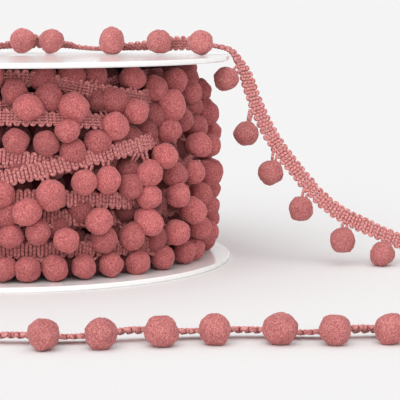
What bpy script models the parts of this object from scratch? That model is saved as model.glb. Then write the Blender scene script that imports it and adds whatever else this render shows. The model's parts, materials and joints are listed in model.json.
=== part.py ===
"""Pompom fringe trim wound on a plastic reel, with its loose end laid over the
top flange, hanging down beside the reel and lying on the table in front of it.

Metres, +Z up. The origin is on the reel's axis, at the underside of the lower
flange. The front of the reel faces -Y.
"""

import math

import bmesh
import bpy
import numpy as np

MM = 0.001

# ---- reel -----------------------------------------------------------------
REEL_HEIGHT = 85.6 * MM
FLANGE_RADIUS = 89.0 * MM
FLANGE_THICK = 2.1 * MM
RIM_ROUND = 0.5 * MM
SPINDLE_RADIUS = 11.0 * MM
HUB_RADIUS = 32.0 * MM
GAP = 0.3 * MM
REEL_SIDES = 64
HUB_SIDES = 40

# ---- trim -----------------------------------------------------------------
BRAID_WIDE = 7.0 * MM
BRAID_THICK = 1.8 * MM
PITCH = 18.1 * MM            # braid between one pompom and the next, on the roll
POMPOM = 10.2 * MM           # pompom across
DROP = 9.4 * MM              # middle of the braid to the middle of a pompom
TIE_REACH = 6.3 * MM         # the braid's edge to the middle of a hanging pompom
TIE_WIDE = 3.2 * MM          # the pair of ties, side by side
SAG = 2.2                    # how much of a free pompom's hang is straight down
TABLE_FLAT = 0.3 * MM        # pressed flat where it lies on the table
BALL_SIDES = 10

# ---- the wound trim ---------------------------------------------------------
ROUND_STEPS = 112            # points round the roll
HEIGHT_STEPS = 22            # points up the roll
RIDGE_RISE = 3.0 * MM        # a braid stands this far out of the bed between turns
DOME_RISE = 4.6 * MM         # and a pompom this far
DOME_WIDE = 13.0 * MM        # with its soft skirt

# The roll's outline: its widest radius at each height, in mm.
ROLL_OUTLINE = (
    # height, radius
    (2.4, 81.0),
    (8.0, 85.2),
    (23.0, 85.8),
    (36.0, 86.4),
    (52.0, 86.4),
    (62.0, 84.4),
    (71.0, 82.4),
    (77.0, 79.5),
    (83.2, 75.0),
)

# The outermost turns. Each braid runs at `start` mm up to the angle `leaves`,
# moves to `end` mm by the angle `arrives`, and comes back over the rest of the
# turn. Angles are degrees round the reel from the front (-Y) towards +X.
# `first` is the angle of its first pompom, and `side` is -1 where the pompoms
# hang below the braid and +1 where they stand above it.
TURNS = (
    # start,  end, leaves, arrives, first, side
    (79.6, 66.0, -5.0, 75.0, 4.8, -1),
    (67.5, 78.5, -20.0, 70.0, 13.4, 1),
    (66.0, 59.5, -25.0, 70.0, 13.2, -1),
    (52.5, 42.0, -30.0, 60.0, 10.5, -1),
    (38.5, 57.0, -25.0, 70.0, 2.0, -1),
    (46.0, 66.5, 10.0, 95.0, 5.2, 1),
    (36.5, 31.0, -30.0, 60.0, 8.1, -1),
    (29.5, 24.0, -20.0, 50.0, 3.5, -1),
    (24.0, 38.0, 30.0, 110.0, 11.5, -1),
    (15.5, 13.5, -40.0, 40.0, 7.9, -1),
    (17.5, 12.5, -10.0, 100.0, 1.7, -1),
)

# ---- the loose end ----------------------------------------------------------
# Middle line of the braid in mm, and the way its pompom side faces there.
LOOSE_ROUTE = (
    # x, y, z, then the direction from the braid to its pompoms
    (-33.0, 77.8, 57.5, 0.0, 0.10, -1.0),
    (-44.0, 74.0, 58.6, -0.05, 0.05, -1.0),
    (-54.0, 69.6, 62.0, -0.20, -0.20, -0.9),
    (-62.0, 66.2, 68.0, -0.40, -0.45, -0.75),
    (-67.4, 63.2, 75.4, -0.54, -0.66, -0.4),
    (-70.5, 59.9, 83.0, -0.62, -0.76, -0.15),
    (-69.2, 58.1, 89.0, -0.64, -0.77, 0.0),
    (-65.9, 55.3, 93.4, -0.64, -0.77, 0.0),
    (-61.0, 51.4, 95.0, -0.62, -0.78, 0.0),
    (-54.6, 46.8, 93.6, -0.58, -0.81, 0.0),
    (-45.4, 40.8, 89.8, -0.52, -0.85, 0.0),
    (-34.0, 35.2, 87.6, -0.42, -0.90, 0.10),
    (-22.0, 30.4, 87.8, -0.32, -0.93, 0.15),
    (-8.3, 26.4, 88.8, -0.15, -0.93, 0.30),
    (5.7, 24.6, 90.7, 0.00, -0.35, 0.93),
    (17.9, 23.2, 89.3, -0.10, -0.92, 0.35),
    (26.7, 21.0, 88.1, -0.15, -0.98, 0.12),
    (35.5, 18.4, 87.8, -0.20, -0.97, 0.10),
    (45.5, 15.2, 88.6, -0.20, -0.90, 0.38),
    (54.5, 11.8, 89.2, -0.20, -0.78, 0.60),
    (64.6, 7.6, 90.1, -0.15, -0.35, 0.92),
    (71.9, 4.6, 90.3, -0.15, -0.40, 0.90),
    (78.0, 2.2, 90.0, -0.25, -0.85, 0.45),
    (83.6, 0.2, 89.4, -0.25, -0.97, 0.02),
    (89.4, -2.2, 87.6, -0.25, -0.96, -0.04),
    (93.0, -4.1, 82.6, -0.42, -0.85, -0.30),
    (95.6, -6.4, 77.4, -0.66, -0.66, -0.34),
    (97.2, -8.6, 72.2, -0.80, -0.48, -0.34),
    (99.6, -11.2, 65.6, -0.86, -0.34, -0.38),
    (102.4, -13.4, 59.2, -0.84, -0.28, -0.46),
    (105.8, -15.4, 52.8, -0.80, -0.28, -0.54),
    (110.6, -17.4, 45.7, -0.74, -0.34, -0.60),
    (115.8, -19.2, 39.2, -0.62, -0.48, -0.62),
    (120.4, -20.6, 33.6, -0.62, -0.34, -0.70),
    (125.4, -21.8, 28.2, -0.58, -0.24, -0.78),
    (131.8, -22.8, 23.0, -0.50, -0.16, -0.86),
    (139.2, -22.4, 18.7, -0.38, -0.16, -0.91),
    (148.2, -20.8, 14.3, -0.32, -0.30, -0.90),
    (157.2, -19.4, 10.1, -0.28, -0.25, -0.93),
    (166.4, -18.8, 6.4, -0.10, 0.45, -0.88),
    (176.4, -21.0, 3.4, 0.20, 0.92, -0.05),
    (186.0, -27.4, 2.4, 0.52, 0.84, 0.18),
    (194.0, -37.6, 2.2, 0.80, 0.58, 0.20),
    (198.6, -52.0, 2.4, 0.94, 0.30, 0.20),
    (200.0, -69.0, 2.3, 0.98, 0.06, 0.20),
    (199.6, -87.0, 2.3, 0.98, -0.06, 0.18),
    (197.4, -105.0, 2.4, 0.96, -0.20, 0.20),
    (192.6, -122.0, 2.3, 0.90, -0.40, 0.20),
    (184.6, -138.0, 2.2, 0.78, -0.60, 0.18),
    (173.4, -151.6, 2.3, 0.60, -0.78, 0.20),
    (160.4, -161.4, 2.4, 0.40, -0.90, 0.20),
    (148.0, -167.0, 2.5, 0.22, -0.95, 0.25),
    (137.0, -169.4, 2.6, 0.08, -0.96, 0.30),
    (128.0, -170.4, 2.9, 0.04, -0.90, 0.45),
    (119.0, -171.4, 2.5, 0.04, -0.96, 0.30),
    (110.5, -171.4, 1.9, 0.00, -0.98, 0.20),
    (101.8, -170.6, 2.2, -0.04, -0.97, 0.25),
    (91.5, -170.4, 2.6, 0.00, -0.95, 0.30),
    (81.2, -170.8, 2.6, 0.04, -0.96, 0.25),
    (72.5, -172.0, 2.4, 0.08, -0.96, 0.25),
    (64.0, -173.6, 2.8, 0.10, -0.95, 0.30),
    (54.5, -175.2, 3.4, 0.12, -0.92, 0.35),
    (45.3, -177.2, 2.6, 0.10, -0.96, 0.25),
    (36.0, -178.6, 2.0, 0.04, -0.97, 0.20),
    (27.2, -179.2, 2.2, 0.00, -0.97, 0.25),
    (18.0, -179.0, 2.6, 0.00, -0.96, 0.30),
    (9.5, -178.6, 2.4, 0.00, -0.96, 0.25),
    (3.0, -178.2, 2.2, 0.00, -0.97, 0.20),
)
STATION = 7.6 * MM           # along the braid, between one section and the next


def smooth_line(rows, finest=0.5 * MM):
    """A smooth curve through the rows, as points a small step apart: position,
    pompom side and the length run so far."""
    knots = np.array(rows, float)
    knots[:, :3] *= MM
    ends = np.vstack([2 * knots[0] - knots[1], knots, 2 * knots[-1] - knots[-2]])
    out = []
    for a, b, c, d in zip(ends, ends[1:], ends[2:], ends[3:]):
        count = max(2, int(np.linalg.norm(c[:3] - b[:3]) / finest))
        for u in np.linspace(0, 1, count, endpoint=False):
            out.append(
                0.5 * (2 * b + (c - a) * u + (2 * a - 5 * b + 4 * c - d) * u**2
                       + (3 * b - a - 3 * c + d) * u**3)
            )
    out.append(knots[-1])
    out = np.array(out)
    run = np.concatenate([[0], np.cumsum(np.linalg.norm(np.diff(out[:, :3], axis=0), axis=1))])
    return out[:, :3], out[:, 3:], run


def frames(rows, at):
    """Position, direction, pompom side and face of the braid at lengths `at`."""
    line, side, run = smooth_line(rows)
    at = np.asarray(at, float)

    def read(values, s):
        return np.stack([np.interp(s, run, values[:, k]) for k in range(3)], 1)

    here = read(line, at)
    along = read(line, at + 0.6 * MM) - read(line, at - 0.6 * MM)
    along /= np.linalg.norm(along, axis=1)[:, None]
    across = read(side, at)
    across -= (across * along).sum(1)[:, None] * along
    across /= np.linalg.norm(across, axis=1)[:, None]
    return here, along, across, np.cross(across, along)


def finish(name, bm, paint, smooth=False):
    """A node from a bmesh: outward faces, its own mesh and material."""
    bmesh.ops.remove_doubles(bm, verts=bm.verts[:], dist=1e-6)
    bmesh.ops.recalc_face_normals(bm, faces=bm.faces[:])
    mesh = bpy.data.meshes.new(name)
    bm.to_mesh(mesh)
    bm.free()
    if smooth:
        mesh.polygons.foreach_set("use_smooth", [True] * len(mesh.polygons))
    obj = bpy.data.objects.new(name, mesh)
    obj.data.materials.append(paint)
    bpy.context.scene.collection.objects.link(obj)
    return obj


def paint(name, colour, rough, sheen=0.0):
    material = bpy.data.materials.new(name)
    material.use_nodes = True
    shader = material.node_tree.nodes["Principled BSDF"]
    shader.inputs["Base Color"].default_value = (*colour, 1.0)
    shader.inputs["Roughness"].default_value = rough
    shader.inputs["Sheen Weight"].default_value = sheen
    return material


def turned(name, profile, sides, material):
    """A ring turned about +Z from a closed profile of (radius, height)."""
    bm = bmesh.new()
    rings = []
    for k in range(sides):
        a = 2 * math.pi * k / sides
        rings.append([bm.verts.new((r * math.sin(a), -r * math.cos(a), z)) for r, z in profile])
    count = len(profile)
    for k in range(sides):
        one, two = rings[k], rings[(k + 1) % sides]
        for i in range(count):
            j = (i + 1) % count
            bm.faces.new((one[i], two[i], two[j], one[j]))
    return finish(name, bm, material)


def flange(name, low, material):
    """A flat disc with a rounded rim and the spindle hole through it."""
    high, e = low + FLANGE_THICK, RIM_ROUND
    profile = (
        (SPINDLE_RADIUS, low),
        (FLANGE_RADIUS - e, low),
        (FLANGE_RADIUS, low + e),
        (FLANGE_RADIUS, high - e),
        (FLANGE_RADIUS - e, high),
        (SPINDLE_RADIUS, high),
    )
    return turned(name, profile, REEL_SIDES, material)


def turn_height(turn, angle):
    """Height of one turn's braid at an angle, in mm. It moves from its start to
    its end height and back, easing at both."""
    start, end, leaves, arrives, _, _ = turn
    swing = (angle - leaves) % 360.0
    span = arrives - leaves
    if swing <= span:
        share = swing / span
    else:
        share = 1.0 - (swing - span) / (360.0 - span)
    return start + (end - start) * (0.5 - 0.5 * math.cos(math.pi * share))


def outline(height):
    """The roll's widest radius at a height, both in mm."""
    heights, radii = zip(*ROLL_OUTLINE)
    return float(np.interp(height, heights, radii))


def pompoms_of(turn):
    """(angle, height) in mm of each pompom of a turn, hanging from its braid."""
    radius = outline(turn[0]) - 5.0
    count = round(2 * math.pi * radius * MM / PITCH)
    places = []
    for k in range(count):
        angle = turn[4] + 360.0 * k / count
        height = turn_height(turn, angle) + turn[5] * DROP / MM
        places.append((angle, min(max(height, 7.4), 78.0)))
    return places


def wound_trim(material):
    """The wound trim as one ring: a bed, a ridge for each outer turn of braid
    and a dome for each of its pompoms, between the flanges."""
    low, high = FLANGE_THICK + GAP, REEL_HEIGHT - FLANGE_THICK - GAP
    domes = [place for turn in TURNS for place in pompoms_of(turn)]
    loose = frames(LOOSE_ROUTE, np.arange(0.0, 60 * MM, 2 * MM))
    near = np.vstack([loose[0], loose[0] + DROP * loose[2]])
    bm = bmesh.new()
    heights = np.linspace(low, high, HEIGHT_STEPS)
    inside = HUB_RADIUS + GAP
    columns = []
    for k in range(ROUND_STEPS):
        angle = 360.0 * k / ROUND_STEPS
        column = [(inside, high), (inside, low)]
        for z in heights:
            z_mm, widest = z / MM, outline(z / MM)
            rise = 0.0
            for turn in TURNS:
                off = (z_mm - turn_height(turn, angle)) / (0.5 * BRAID_WIDE / MM)
                rise = max(rise, RIDGE_RISE / MM * max(0.0, 1.0 - 0.5 * off**2))
            for a, height in domes:
                turned_by = (angle - a + 180.0) % 360.0 - 180.0
                if abs(turned_by) < 8.0:
                    far = math.hypot(math.radians(turned_by) * widest, z_mm - height)
                    inner = 1.0 - (far / (0.5 * DOME_WIDE / MM)) ** 2
                    if inner > 0:
                        rise = max(rise, DOME_RISE / MM * inner**0.8)
            radius = (widest - DOME_RISE / MM + rise) * MM
            x, y = math.sin(math.radians(angle)), -math.cos(math.radians(angle))
            gap = np.linalg.norm(near - np.array((radius * x, radius * y, z)), axis=1).min()
            if gap < 9.0 * MM:  # the bed that the loose end starts from
                radius = min(radius, 75.0 * MM + max(0.0, gap - 6.5 * MM))
            column.append((radius, z))
        columns.append([
            bm.verts.new((r * math.sin(math.radians(angle)), -r * math.cos(math.radians(angle)), z))
            for r, z in column
        ])
    count = len(columns[0])
    for k in range(ROUND_STEPS):
        one, two = columns[k], columns[(k + 1) % ROUND_STEPS]
        for i in range(count):
            j = (i + 1) % count
            bm.faces.new((one[i], two[i], two[j], one[j]))
    return finish("wound_trim", bm, material)


def loose_braid(material):
    """The braid of the loose end, as a flat strip swept along its route."""
    _, _, run = smooth_line(LOOSE_ROUTE)
    stations = np.linspace(0.0, run[-1], int(run[-1] / STATION) + 1)
    here, _, across, face = frames(LOOSE_ROUTE, stations)
    w, t = BRAID_WIDE / 2, BRAID_THICK / 2
    section = ((w, 0.0), (w - 0.6 * MM, t), (0.6 * MM - w, t), (-w, 0.0), (0.6 * MM - w, -t), (w - 0.6 * MM, -t))
    bm = bmesh.new()
    rings = [
        [bm.verts.new(p + a * u + n * v) for u, v in section]
        for p, a, n in zip(here, across, face)
    ]
    for one, two in zip(rings, rings[1:]):
        for i in range(len(section)):
            j = (i + 1) % len(section)
            bm.faces.new((one[i], two[i], two[j], one[j]))
    bm.faces.new(rings[0])
    bm.faces.new(rings[-1][::-1])
    return finish("loose_braid", bm, material)


# Where the pompoms are tied: even steps from `first` to `last` mm along the
# route, in stretches.
TIED = (
    # first, last, pompoms
    (10.8, 123.6, 7),     # off the roll, over the back rim
    (141.7, 160.5, 2),    # on the top flange
    (181.8, 224.0, 3),
    (244.3, 342.2, 6),    # hanging beside the reel
    (361.4, 554.4, 11),   # round the bend on the table
    (571.3, 663.8, 6),    # in front of the reel
)

# Pompoms whose ties aren't as the rest: `lean` is how far the ball sits along
# the braid from where it is tied, `reach` is the length of its ties, both in
# mm, and `sag` is how much of its hang is straight down.
TIES = (
    # number, lean, reach, sag
    (8, 1.4, 7.4, SAG),
    (9, -5.8, 6.3, SAG),
    (10, 1.6, 6.3, SAG),
    (11, 3.3, 6.3, SAG),
    (13, -0.4, 6.9, 0.65),
    (14, 1.5, 7.0, SAG),
    (15, 0.5, 6.3, SAG),
    (16, 0.0, 6.0, SAG),
    (17, 0.0, 5.8, SAG),
    (18, 2.0, 6.3, SAG),
    (31, -1.8, 6.3, SAG),
    (32, 1.5, 6.3, SAG),
    (33, 1.4, 6.3, SAG),
    (34, 1.9, 6.3, SAG),
)


def pompom_stations():
    """Where along the loose end each pompom is tied."""
    return np.concatenate([np.linspace(first, last, count) * MM for first, last, count in TIED])


def unit(v):
    return v / np.linalg.norm(v)


def settled(root, across, lean, reach, sag):
    """Where the middle of a pompom comes to rest. It hangs from its ties, and
    where the flange or the table is in its way, it lies on that instead,
    beside the braid."""
    radius = POMPOM / 2
    on_flange = root[2] > REEL_HEIGHT and math.hypot(root[0], root[1]) < FLANGE_RADIUS - 2.0 * MM
    rest = REEL_HEIGHT + GAP + radius if on_flange else radius - TABLE_FLAT
    middle = root + lean + reach * unit(across + np.array((0.0, 0.0, -sag)))
    if middle[2] < rest:
        level = unit(across * (1.0, 1.0, 0.0))
        climb = rest - root[2]
        middle = root + lean + level * math.sqrt(max(reach**2 - climb**2, (0.8 * reach) ** 2))
        middle[2] = rest
    return middle


def pompom(name, here, along, across, face, lean, reach, sag, material):
    """A ball on its pair of ties, as one solid turned about the line from the
    braid's edge to the middle of the ball."""
    root = here + across * (BRAID_WIDE / 2 + GAP + 0.1 * MM)
    middle = settled(root, across, along * lean, reach, sag)
    radius = POMPOM / 2
    axis = middle - root
    reach = np.linalg.norm(axis)
    axis /= reach
    one = unit(np.cross(axis, face))
    two = np.cross(axis, one)
    profile = [(TIE_WIDE / 2, 0.0)]
    for k in range(1, 6):
        around = math.pi * k / 6
        profile.append((radius * math.sin(around), reach - radius * math.cos(around)))
    bm = bmesh.new()
    rings = []
    for r, up in profile:
        if up == 0.0:  # the ties come out of the edge side by side, along the braid
            flat = unit(np.cross(across, face))
            wide, thick = flat * r, 0.45 * r * np.cross(across, flat)
        else:
            wide, thick = one * r, two * r
        rings.append([
            bm.verts.new(root + axis * up + wide * math.cos(a) + thick * math.sin(a))
            for a in np.linspace(0.0, 2 * math.pi, BALL_SIDES, endpoint=False)
        ])
    for low, high in zip(rings, rings[1:]):
        for i in range(BALL_SIDES):
            j = (i + 1) % BALL_SIDES
            bm.faces.new((low[i], low[j], high[j], high[i]))
    bm.faces.new(rings[0][::-1])
    tip = bm.verts.new(root + axis * (reach + radius))
    for i in range(BALL_SIDES):
        bm.faces.new((rings[-1][i], rings[-1][(i + 1) % BALL_SIDES], tip))
    for vert in bm.verts:  # a small flat spot where it lies on the table
        if vert.co.z < 1.0 * MM:
            vert.co.z = 0.0
    return finish(name, bm, material)


for old in list(bpy.data.objects):
    bpy.data.objects.remove(old)

white_plastic = paint("reel plastic", (0.86, 0.87, 0.87), 0.3)
gimp = paint("gimp braid", (0.42, 0.12, 0.13), 0.8, 0.3)
wool = paint("pompom yarn", (0.50, 0.16, 0.17), 0.95, 0.5)

flange("flange_bottom", 0.0, white_plastic)
flange("flange_top", REEL_HEIGHT - FLANGE_THICK, white_plastic)
turned(
    "reel_hub",
    (
        (SPINDLE_RADIUS, FLANGE_THICK + GAP),
        (HUB_RADIUS, FLANGE_THICK + GAP),
        (HUB_RADIUS, REEL_HEIGHT - FLANGE_THICK - GAP),
        (SPINDLE_RADIUS, REEL_HEIGHT - FLANGE_THICK - GAP),
    ),
    HUB_SIDES,
    white_plastic,
)
wound_trim(wool)
loose_braid(gimp)
ties = {number: (lean * MM, reach * MM, sag) for number, lean, reach, sag in TIES}
for number, row in enumerate(zip(*frames(LOOSE_ROUTE, pompom_stations())), 1):
    pompom(f"pompom_{number:02d}", *row, *ties.get(number, (0.0, TIE_REACH, SAG)), wool)
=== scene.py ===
# %% [markdown]
# # Pompom fringe trim on a reel
# The real thing is sold by the metre: a narrow gimp braid, made of one soft
# cord laid to and fro across a few lengthwise threads, with a small yarn
# pompom tied to one edge every 18 mm. Some metres of it are wound on a white
# plastic reel, and the loose end lies over the top flange, hangs down beside
# the reel and comes round in front of it on the table.
#
# The reel keeps its exact solids. Everything soft is built here, each thing
# the way it is made: the gimp from a cord that really goes to and fro, the
# pompoms from lumpy balls, each on two short ties.

import json
import math

import bmesh
import bpy
import numpy as np
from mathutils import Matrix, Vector, noise

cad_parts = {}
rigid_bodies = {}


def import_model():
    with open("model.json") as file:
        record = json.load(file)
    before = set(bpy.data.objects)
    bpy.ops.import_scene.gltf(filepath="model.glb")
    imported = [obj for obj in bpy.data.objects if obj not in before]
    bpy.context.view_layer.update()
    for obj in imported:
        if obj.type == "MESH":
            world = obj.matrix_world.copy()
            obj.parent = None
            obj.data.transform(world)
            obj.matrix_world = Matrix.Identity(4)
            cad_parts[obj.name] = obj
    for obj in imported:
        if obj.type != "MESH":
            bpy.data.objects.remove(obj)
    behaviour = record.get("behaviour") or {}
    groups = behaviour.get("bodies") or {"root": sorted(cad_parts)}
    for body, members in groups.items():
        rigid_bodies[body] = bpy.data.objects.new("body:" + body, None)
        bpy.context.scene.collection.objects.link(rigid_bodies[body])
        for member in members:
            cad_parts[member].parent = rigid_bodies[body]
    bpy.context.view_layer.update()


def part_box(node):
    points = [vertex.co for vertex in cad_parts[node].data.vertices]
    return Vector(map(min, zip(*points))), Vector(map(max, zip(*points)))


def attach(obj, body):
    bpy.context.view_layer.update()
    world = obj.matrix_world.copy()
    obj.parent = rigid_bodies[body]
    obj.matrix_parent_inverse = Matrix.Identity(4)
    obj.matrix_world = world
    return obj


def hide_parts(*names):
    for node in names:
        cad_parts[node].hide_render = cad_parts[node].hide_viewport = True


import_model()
MM = 0.001

# %% [markdown]
# ## The camera
# A product shot of a small thing is taken from less than a metre away with a
# long lens, a little above the table. A long lens keeps the upright lines of
# the reel nearly parallel, so the camera is placed first and stays as it is.

# %% Camera
def put(name, data):
    """A new object in the scene."""
    made = bpy.data.objects.new(name, data)
    bpy.context.scene.collection.objects.link(made)
    return made


lens = bpy.data.cameras.new("studio_camera")
lens.lens = 149.8
lens.sensor_width = 36.0
lens.clip_start = 0.01
camera = put("studio_camera", lens)
camera.location = (76.4 * MM, -700.0 * MM, 109.6 * MM)
camera.rotation_euler = (math.radians(90.0 - 6.95), 0.0, 0.0)
bpy.context.scene.camera = camera
bpy.context.scene.view_settings.view_transform = "Standard"
print("camera", tuple(camera.location))

# %% [markdown]
# ## The way the loose end lies
# The loose end is one length of limp trim, so its shape is the line it lies
# on and the way its pompom edge faces at each point of that line. It starts
# on the roll at the back, climbs over the rim, wanders across the flange,
# hangs down at the right, and turns round on the table to come back in front.
# A smooth curve through a short table of resting places gives all of it.

# %% The resting places, in mm
LOOSE_ROUTE = (
    # x, y, z, then the direction from the braid to its pompoms
    (-33.0, 77.8, 57.5, 0.0, 0.1, -1.0), (-44.0, 74.0, 58.6, -0.05, 0.05, -1.0),
    (-54.0, 69.6, 62.0, -0.2, -0.2, -0.9), (-62.0, 66.2, 68.0, -0.4, -0.45, -0.75),
    (-67.4, 63.2, 75.4, -0.54, -0.66, -0.4), (-70.5, 59.9, 83.0, -0.62, -0.76, -0.15),
    (-69.2, 58.1, 89.0, -0.64, -0.77, 0.0), (-65.9, 55.3, 93.4, -0.64, -0.77, 0.0),
    (-61.0, 51.4, 95.0, -0.62, -0.78, 0.0), (-54.6, 46.8, 93.6, -0.58, -0.81, 0.0),
    (-45.4, 40.8, 89.8, -0.52, -0.85, 0.0), (-34.0, 35.2, 87.6, -0.42, -0.9, 0.1),
    (-22.0, 30.4, 87.8, -0.32, -0.93, 0.15), (-8.3, 26.4, 88.8, -0.15, -0.93, 0.3),
    (5.7, 24.6, 90.7, 0.0, -0.35, 0.93), (17.9, 23.2, 89.3, -0.1, -0.92, 0.35),
    (26.7, 21.0, 88.1, -0.15, -0.98, 0.12), (35.5, 18.4, 87.8, -0.2, -0.97, 0.1),
    (45.5, 15.2, 88.6, -0.2, -0.9, 0.38), (54.5, 11.8, 89.2, -0.2, -0.78, 0.6),
    (64.6, 7.6, 90.1, -0.15, -0.35, 0.92), (71.9, 4.6, 90.3, -0.15, -0.4, 0.9),
    (78.0, 2.2, 90.0, -0.25, -0.85, 0.45), (83.6, 0.2, 89.4, -0.25, -0.97, 0.02),
    (89.4, -2.2, 87.6, -0.25, -0.96, -0.04), (93.0, -4.1, 82.6, -0.42, -0.85, -0.3),
    (95.6, -6.4, 77.4, -0.66, -0.66, -0.34), (97.2, -8.6, 72.2, -0.8, -0.48, -0.34),
    (99.6, -11.2, 65.6, -0.86, -0.34, -0.38), (102.4, -13.4, 59.2, -0.84, -0.28, -0.46),
    (105.8, -15.4, 52.8, -0.8, -0.28, -0.54), (110.6, -17.4, 45.7, -0.74, -0.34, -0.6),
    (115.8, -19.2, 39.2, -0.62, -0.48, -0.62), (120.4, -20.6, 33.6, -0.62, -0.34, -0.7),
    (125.4, -21.8, 28.2, -0.58, -0.24, -0.78), (131.8, -22.8, 23.0, -0.5, -0.16, -0.86),
    (139.2, -22.4, 18.7, -0.38, -0.16, -0.91), (148.2, -20.8, 14.3, -0.32, -0.3, -0.9),
    (157.2, -19.4, 10.1, -0.28, -0.25, -0.93), (166.4, -18.8, 6.4, -0.1, 0.45, -0.88),
    (176.4, -21.0, 3.4, 0.2, 0.92, -0.05), (186.0, -27.4, 2.4, 0.52, 0.84, 0.18),
    (194.0, -37.6, 2.2, 0.8, 0.58, 0.2), (198.6, -52.0, 2.4, 0.94, 0.3, 0.2),
    (200.0, -69.0, 2.3, 0.98, 0.06, 0.2), (199.6, -87.0, 2.3, 0.98, -0.06, 0.18),
    (197.4, -105.0, 2.4, 0.96, -0.2, 0.2), (192.6, -122.0, 2.3, 0.9, -0.4, 0.2),
    (184.6, -138.0, 2.2, 0.78, -0.6, 0.18), (173.4, -151.6, 2.3, 0.6, -0.78, 0.2),
    (160.4, -161.4, 2.4, 0.4, -0.9, 0.2), (148.0, -167.0, 2.5, 0.22, -0.95, 0.25),
    (137.0, -169.4, 2.6, 0.08, -0.96, 0.3), (128.0, -170.4, 2.9, 0.04, -0.9, 0.45),
    (119.0, -171.4, 2.5, 0.04, -0.96, 0.3), (110.5, -171.4, 1.9, 0.0, -0.98, 0.2),
    (101.8, -170.6, 2.2, -0.04, -0.97, 0.25), (91.5, -170.4, 2.6, 0.0, -0.95, 0.3),
    (81.2, -170.8, 2.6, 0.04, -0.96, 0.25), (72.5, -172.0, 2.4, 0.08, -0.96, 0.25),
    (64.0, -173.6, 2.8, 0.1, -0.95, 0.3), (54.5, -175.2, 3.4, 0.12, -0.92, 0.35),
    (45.3, -177.2, 2.6, 0.1, -0.96, 0.25), (36.0, -178.6, 2.0, 0.04, -0.97, 0.2),
    (27.2, -179.2, 2.2, 0.0, -0.97, 0.25), (18.0, -179.0, 2.6, 0.0, -0.96, 0.3),
    (9.5, -178.6, 2.4, 0.0, -0.96, 0.25), (3.0, -178.2, 2.2, 0.0, -0.97, 0.2),
)


def length_run(points):
    """The length run along a line, at each of its points."""
    return np.concatenate([[0], np.cumsum(np.linalg.norm(np.diff(points, axis=0), axis=1))])


def smooth_line(rows, finest=0.5 * MM):
    """A smooth curve through the rows: points, pompom side and length run."""
    knots = np.array(rows, float)
    knots[:, :3] *= MM
    ends = np.vstack([2 * knots[0] - knots[1], knots, 2 * knots[-1] - knots[-2]])
    out = []
    for a, b, c, d in zip(ends, ends[1:], ends[2:], ends[3:]):
        count = max(2, int(np.linalg.norm(c[:3] - b[:3]) / finest))
        for u in np.linspace(0, 1, count, endpoint=False):
            out.append(
                0.5 * (2 * b + (c - a) * u + (2 * a - 5 * b + 4 * c - d) * u**2
                       + (3 * b - a - 3 * c + d) * u**3)
            )
    out.append(knots[-1])
    out = np.array(out)
    return out[:, :3], out[:, 3:], length_run(out[:, :3])


def frames_on(line, side, run, at):
    """Place, direction, pompom side and face of a braid at lengths along it."""
    at = np.asarray(at, float)

    def read(values, s):
        return np.stack([np.interp(s, run, values[:, k]) for k in range(3)], 1)

    here = read(line, at)
    along = read(line, at + 0.6 * MM) - read(line, at - 0.6 * MM)
    along /= np.linalg.norm(along, axis=1)[:, None]
    across = read(side, at)
    across -= (across * along).sum(1)[:, None] * along
    across /= np.linalg.norm(across, axis=1)[:, None]
    return here, along, across, np.cross(across, along)


loose_line = smooth_line(LOOSE_ROUTE)
LOOSE_LENGTH = float(loose_line[2][-1])
print("loose end", round(LOOSE_LENGTH / MM, 1), "mm")

# %% [markdown]
# ## The gimp braid
# Gimp is one soft cord laid to and fro: across the braid, round in a small
# bend, and back beside itself. The bends are the scallops of both edges, and
# the thin shadows between the legs are what makes the braid look knitted. A
# few lengthwise threads hold the legs, and they show on the back as rows of
# chain stitches.
#
# A flat strip with a pattern would lose the scallops, so the cord itself is
# drawn: a curve with a round bevel that follows the to and fro, turned into a
# mesh at the end. Each leg rises a little over its neighbour, as in the
# crochet machine that makes it.

# %% Gimp measures
BRAID_WIDE = 7.0 * MM
GIMP_CORD = 1.45 * MM  # the cord, across
LOOP = 2.95 * MM  # braid length that one to and fro takes
LEG_RISE = 0.10 * MM  # every other leg lies this much higher
CHAIN_CORD = 0.95 * MM  # a lengthwise chain on the back
STITCH = 1.55 * MM  # chain length that one stitch takes
CHAINS = (-1.75, -0.58, 0.58, 1.75)  # where the chains lie across the back, mm
TWIST = 1.6 * MM  # cord length that one turn of its plies takes
dice = np.random.default_rng(7)


def to_and_fro(length, bend_steps, leg_steps):
    """The cord's way in the flat braid: length along, distance across, rise,
    and the length its twist counts from, which differs from leg to leg."""
    bend = LOOP / 4
    reach = BRAID_WIDE / 2 - GIMP_CORD / 2 - bend
    turn = np.linspace(-math.pi / 2, math.pi / 2, bend_steps, endpoint=False)
    leg = np.linspace(-reach, reach, leg_steps, endpoint=False)
    one = np.concatenate([
        np.column_stack([np.zeros(leg_steps), leg]),
        np.column_stack([bend + bend * np.sin(turn), reach + bend * np.cos(turn)]),
        np.column_stack([np.full(leg_steps, 2 * bend), -leg]),
        np.column_stack([3 * bend + bend * np.sin(turn), -reach - bend * np.cos(turn)]),
    ])
    loops = int(length / LOOP)
    # no two loops are quite alike: they slip along and reach out a little
    jitter = dice.normal(0, 1, (loops + 1, 2)) * (0.10 * MM, 0.13 * MM)
    place = (np.arange(loops) * LOOP)[:, None] + one[None, :, 0]
    where = place / LOOP
    slip, swell = (np.interp(where, np.arange(loops + 1), jitter[:, k]) for k in (0, 1))
    across = np.broadcast_to(one[:, 1], place.shape)
    rise = LEG_RISE * np.cos(2 * math.pi * place / LOOP)
    leg_shift = np.random.default_rng(11).uniform(0, 2 * TWIST, 2 * loops + 2)
    twist = across + np.interp(2 * where, np.arange(2 * loops + 2), leg_shift)
    across = across + np.sign(across) * swell
    return (place + slip).ravel(), across.ravel(), rise.ravel(), twist.ravel()


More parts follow.
